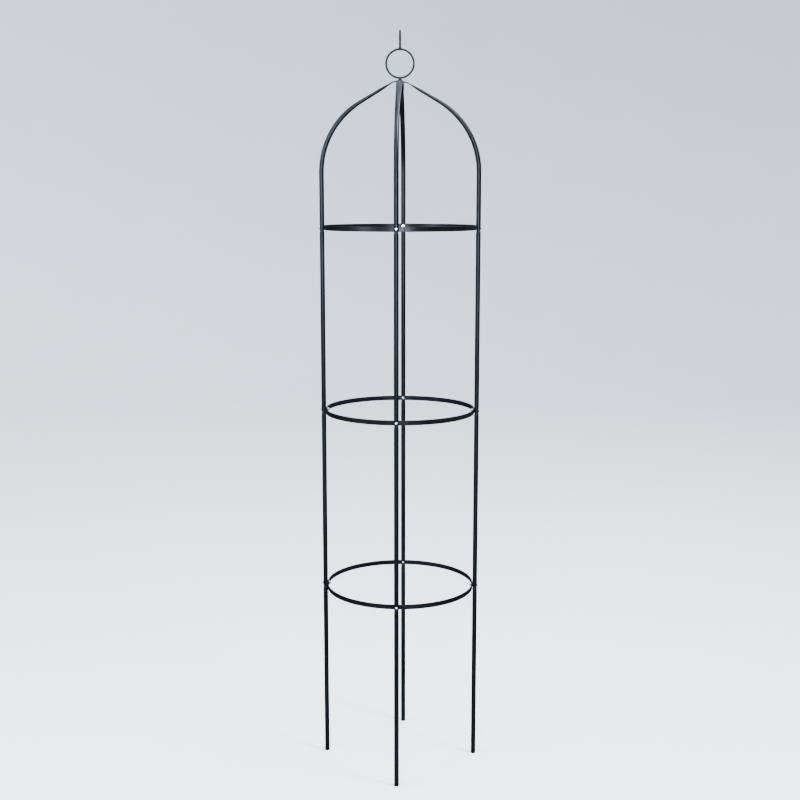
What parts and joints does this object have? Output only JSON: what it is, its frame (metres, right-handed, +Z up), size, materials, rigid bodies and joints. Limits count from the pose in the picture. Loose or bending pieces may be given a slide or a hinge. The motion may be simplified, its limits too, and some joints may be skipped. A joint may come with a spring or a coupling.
{
  "type": "garden obelisk",
  "caption": "Tall round garden obelisk of black coated steel tube for climbing plants: straight legs, flat-bar hoops, a domed top and a ring finial with a spike.",
  "frame": {"origin": "on the obelisk's axis, in the plane of the leg ends", "axes": "+Z up along the obelisk's axis to the spike; the front leg is on -Y and the right leg on +X; the finial ring lies in the X-Z plane"},
  "size_m": [0.416, 0.416, 1.9],
  "materials": {
    "tube_coat": "black satin powder coat on steel tube",
    "hoop_coat": "black satin powder coat on flat steel bar",
    "finial_coat": "black satin powder coat on steel wire",
    "zinc": "bright zinc plate"
  },
  "bodies": {
    "root": {"lower_tube_front": "tube_coat", "lower_tube_right": "tube_coat", "lower_tube_back": "tube_coat", "lower_tube_left": "tube_coat", "middle_tube_front": "tube_coat", "middle_tube_right": "tube_coat", "middle_tube_back": "tube_coat", "middle_tube_left": "tube_coat", "upper_tube_front": "tube_coat", "upper_tube_right": "tube_coat", "upper_tube_back": "tube_coat", "upper_tube_left": "tube_coat", "arch_tube_front": "tube_coat", "arch_tube_right": "tube_coat", "arch_tube_back": "tube_coat", "arch_tube_left": "tube_coat", "lower_hoop_front": "hoop_coat", "lower_hoop_back": "hoop_coat", "middle_hoop_front": "hoop_coat", "middle_hoop_back": "hoop_coat", "upper_hoop_front": "hoop_coat", "upper_hoop_back": "hoop_coat", "lower_hoop_screws": "zinc", "lower_hoop_nuts": "zinc", "middle_hoop_screws": "zinc", "middle_hoop_nuts": "zinc", "upper_hoop_screws": "zinc", "upper_hoop_nuts": "zinc", "apex_bolt": "zinc", "apex_washer": "zinc", "finial_nut": "finial_coat", "finial_ring": "finial_coat", "finial_spike": "finial_coat"}
  },
  "joints": []
}
